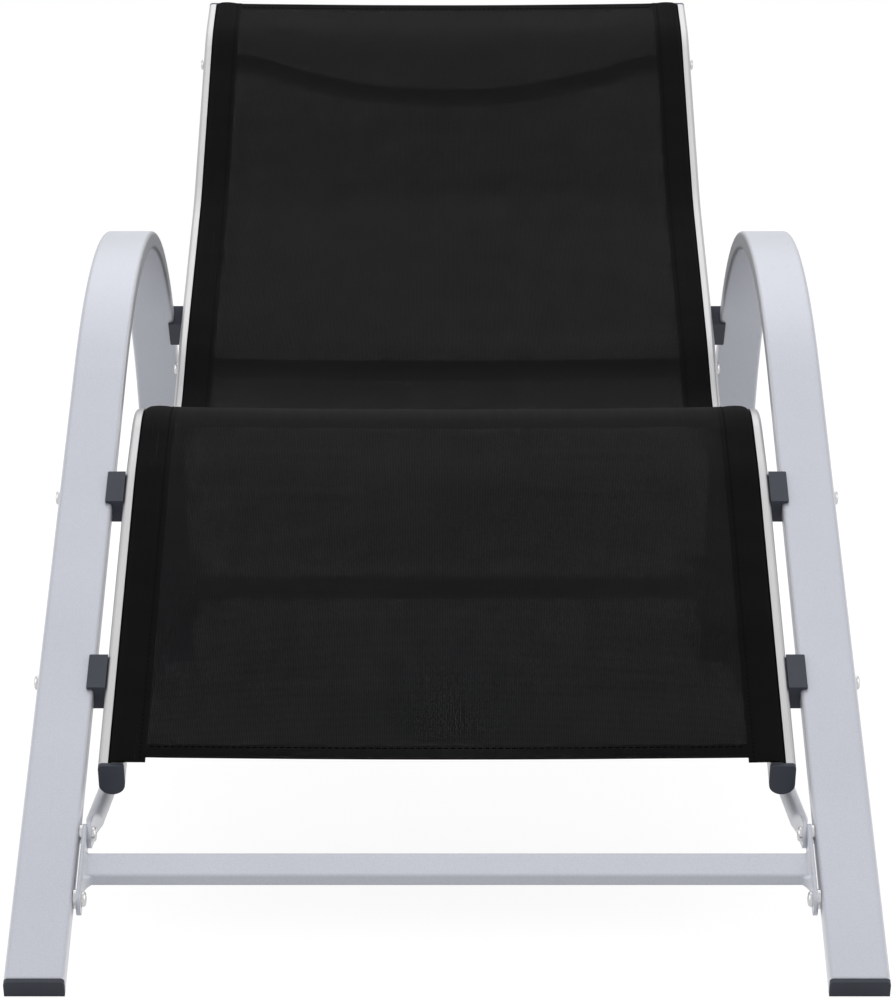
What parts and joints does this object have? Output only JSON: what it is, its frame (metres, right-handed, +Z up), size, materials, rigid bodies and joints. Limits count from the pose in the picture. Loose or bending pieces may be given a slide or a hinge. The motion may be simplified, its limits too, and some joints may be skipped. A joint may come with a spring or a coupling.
{
  "type": "sun lounger",
  "caption": "Low garden lounger: bent flat-tube arches are legs and armrests in one and carry an S-shaped frame with a stretched mesh sling.",
  "frame": {"origin": "on the floor, midway along the lounger's length and on its middle plane", "axes": "+Z up, +Y towards the head end, +X to the right for someone looking along +Y"},
  "size_m": [0.6168, 1.678, 0.6806],
  "materials": {
    "silver_coat": "satin silver powder coat",
    "rail_alloy": "satin silver extrusion",
    "slate_plastic": "moulded, matte",
    "bright_steel": "bright zinc",
    "black_mesh": "coated yarn mesh",
    "keder_cord": "plain cord"
  },
  "bodies": {
    "root": {"back_crossbar": "silver_coat", "back_crossbar_bolts": "bright_steel", "back_crossbar_inserts": "slate_plastic", "front_crossbar": "silver_coat", "front_plate_bolts": "bright_steel", "front_rivet_nuts": "bright_steel", "head_crossbar": "silver_coat", "head_crossbar_bolts": "bright_steel", "head_crossbar_inserts": "slate_plastic", "left_arch": "silver_coat", "left_front_foot": "slate_plastic", "left_front_lower_saddle": "slate_plastic", "left_front_plate": "silver_coat", "left_front_upper_saddle": "slate_plastic", "left_keder": "keder_cord", "left_rail": "rail_alloy", "left_rail_front_plug": "slate_plastic", "left_rail_head_plug": "slate_plastic", "left_rear_foot": "slate_plastic", "left_rear_plate": "silver_coat", "left_rear_saddle": "slate_plastic", "left_saddle_bolts": "bright_steel", "left_saddle_nuts": "bright_steel", "left_tie_rod": "silver_coat", "rear_crossbar": "silver_coat", "rear_plate_bolts": "bright_steel", "rear_rivet_nuts": "bright_steel", "right_arch": "silver_coat", "right_front_foot": "slate_plastic", "right_front_lower_saddle": "slate_plastic", "right_front_plate": "silver_coat", "right_front_upper_saddle": "slate_plastic", "right_keder": "keder_cord", "right_rail": "rail_alloy", "right_rail_front_plug": "slate_plastic", "right_rail_head_plug": "slate_plastic", "right_rear_foot": "slate_plastic", "right_rear_plate": "silver_coat", "right_rear_saddle": "slate_plastic", "right_saddle_bolts": "bright_steel", "right_saddle_nuts": "bright_steel", "right_tie_rod": "silver_coat", "sling": "black_mesh"}
  },
  "joints": []
}
